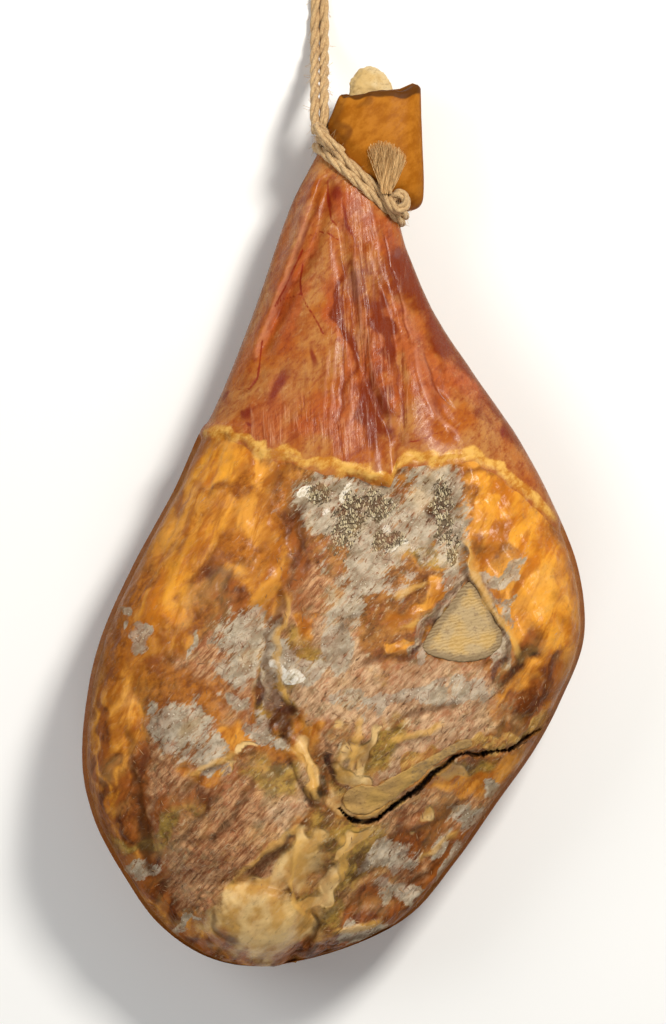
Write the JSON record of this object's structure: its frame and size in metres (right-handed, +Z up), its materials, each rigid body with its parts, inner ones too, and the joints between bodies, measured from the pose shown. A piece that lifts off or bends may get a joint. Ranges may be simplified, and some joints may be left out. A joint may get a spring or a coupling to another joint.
{
  "type": "cured ham",
  "caption": "Whole dry-cured ham on the bone, lying meat side up, with bare hock bone, sawn hip bone and a jute rope noose with a hanging loop.",
  "frame": {"origin": "middle of the ham's box on the surface it lies on, without the hanging loop", "axes": "+Z up, +Y from the rump to the hock, +X to the right of the meat side as seen from above with the hock away"},
  "size_m": [0.3238, 0.6881, 0.1462],
  "materials": {
    "cured_meat": "dried rind, yellow fat and brown lean meat with grey mould bloom; greasy sheen on rind and fat, matt where dusted",
    "bone": "dry sawn bone, matt cream to tan",
    "jute_rope": "laid three-strand jute, hairy and matt"
  },
  "bodies": {
    "root": {"ham": "cured_meat", "hock_bone": "bone", "hip_bone": "bone", "hip_bone_edge": "bone", "noose": "jute_rope", "frayed_end": "jute_rope", "hanging_loop": "jute_rope"}
  },
  "joints": []
}
